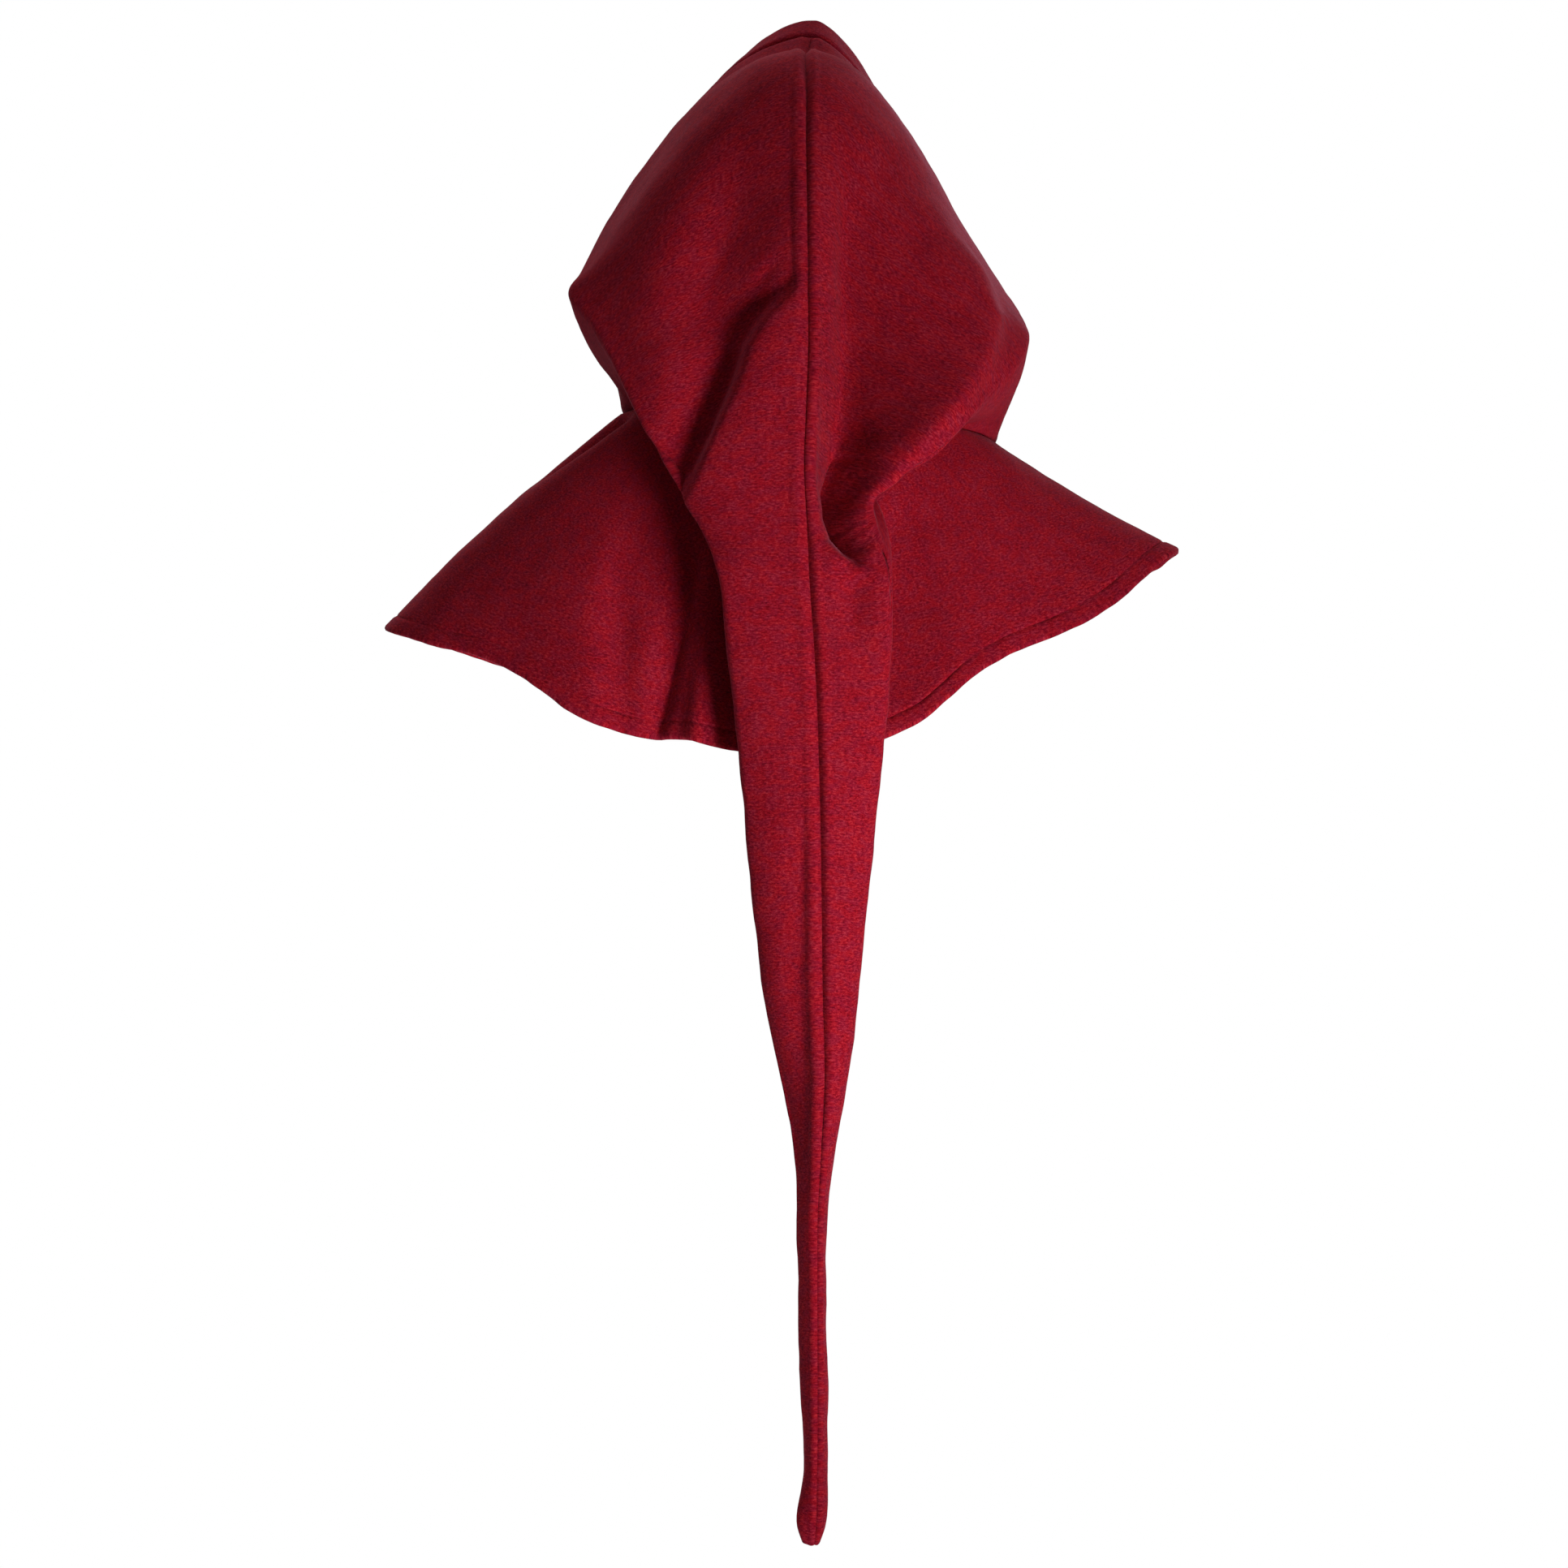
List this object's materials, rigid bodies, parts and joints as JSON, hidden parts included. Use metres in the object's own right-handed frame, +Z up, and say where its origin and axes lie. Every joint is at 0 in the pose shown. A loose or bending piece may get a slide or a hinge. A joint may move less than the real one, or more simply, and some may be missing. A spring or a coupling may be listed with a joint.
{
  "type": "medieval hooded shoulder cape with long hood tail",
  "caption": "Hooded shoulder cape in thick wool felt with a very long tapering tail on the hood, hollow and posed as worn.",
  "frame": {"origin": "the middle of the base of the wearer's neck, on the neck's axis, where the garment is held up", "axes": "+X is the wearer's right, +Y is the way the wearer faces, +Z is up; the seamed back and the tail face -Y"},
  "size_m": [0.5825, 0.3434, 1.1147],
  "materials": {
    "wool_felt": "thick dark red melange wool felt, matt, with a short nap"
  },
  "bodies": {
    "root": {"hood_left": "wool_felt", "hood_right": "wool_felt", "face_band": "wool_felt", "cape_left": "wool_felt", "cape_right": "wool_felt"}
  },
  "joints": []
}
